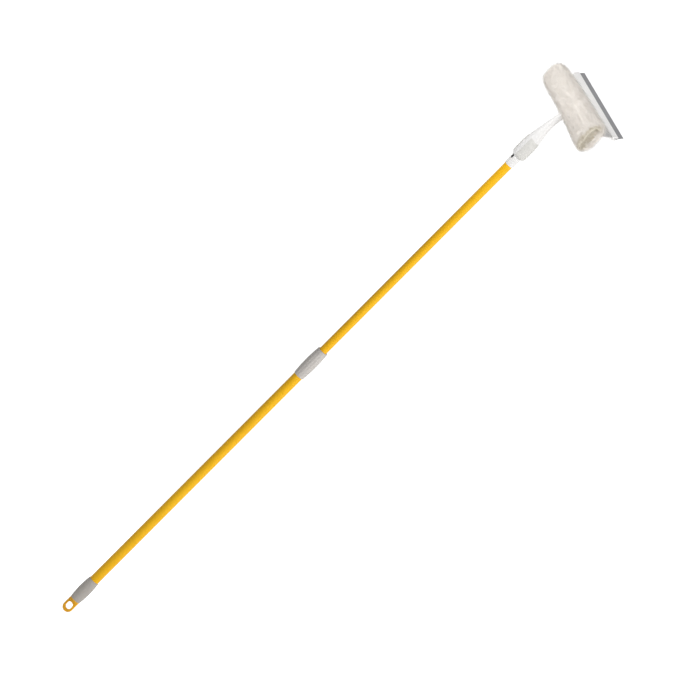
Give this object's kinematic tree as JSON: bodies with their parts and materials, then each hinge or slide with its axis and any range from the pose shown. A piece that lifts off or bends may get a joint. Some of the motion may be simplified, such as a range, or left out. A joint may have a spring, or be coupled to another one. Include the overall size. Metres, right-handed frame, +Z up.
{
  "type": "window scrubber",
  "caption": "Window scrubber with a fluffy washing sleeve and a rubber blade on a T-shaped head, on a telescopic pole with a twist lock.",
  "frame": {"origin": "centre of the hanging eye at the foot of the pole", "axes": "+Z up the pole towards the head, X along the blade and the sleeve, +Y to the back, the blade's side"},
  "size_m": [0.235, 0.0891, 1.6138],
  "materials": {
    "yellow_tube": "glossy yellow coating on a thin steel tube",
    "yellow_plastic": "yellow moulded plastic",
    "grip_grey": "warm grey matt moulded sleeve",
    "collar_grey": "light grey satin moulded collar",
    "nylon": "natural nylon",
    "spring_steel": "tempered strip",
    "screw_steel": "zinc plated",
    "black_plastic": "black moulded button",
    "white_plastic": "white satin moulding",
    "pad_grey": "off-white soft grip pad",
    "blade_rubber": "mid grey squeegee rubber",
    "hook_tape": "nylon hook tape",
    "lining_fabric": "tan woven backing",
    "sleeve_pile": "cream fluffy pile"
  },
  "bodies": {
    "lower_pole": {"lower_tube": "yellow_tube", "hang_loop": "yellow_plastic", "grip_sleeve": "grip_grey", "collet": "nylon"},
    "lock_collar": {"lock_collar": "collar_grey"},
    "guide_ring": {"guide_ring": "nylon"},
    "upper_pole": {"upper_tube": "yellow_tube", "foot_plug": "nylon", "tip_plug": "nylon", "button_spring": "spring_steel", "handle_stem": "white_plastic", "grip_pad_right": "pad_grey", "grip_pad_left": "pad_grey", "stem_screw": "screw_steel", "head_frame": "white_plastic", "bar_cap_right": "white_plastic", "bar_cap_left": "white_plastic", "rubber_blade": "blade_rubber", "channel_plug_right": "white_plastic", "channel_plug_left": "white_plastic", "hook_tape_upper": "hook_tape", "hook_tape_lower": "hook_tape", "sleeve_lining": "lining_fabric", "scrub_sleeve": "sleeve_pile"},
    "snap_button": {"snap_button": "black_plastic"}
  },
  "joints": [
    {"name": "pole_slide", "type": "slide", "parent": "lower_pole", "child": "guide_ring", "axis": [0, 0, 1], "range_m": [-0.577, 0]},
    {"name": "pole_turn", "type": "hinge", "parent": "guide_ring", "child": "upper_pole", "pos_m": [0, 0, 0.72], "axis": [0, 0, 1], "continuous": true},
    {"name": "collar_twist", "type": "hinge", "parent": "lower_pole", "child": "lock_collar", "pos_m": [0, 0, 0.755], "axis": [0, 0, 1], "range_deg": [-120, 0]},
    {"name": "snap_button_press", "type": "slide", "parent": "upper_pole", "child": "snap_button", "axis": [0, 1, 0], "range_m": [0, 0.0026], "stiffness_N_per_m": 1500, "springref_m": -0.002, "deforming": ["button_spring"]}
  ]
}
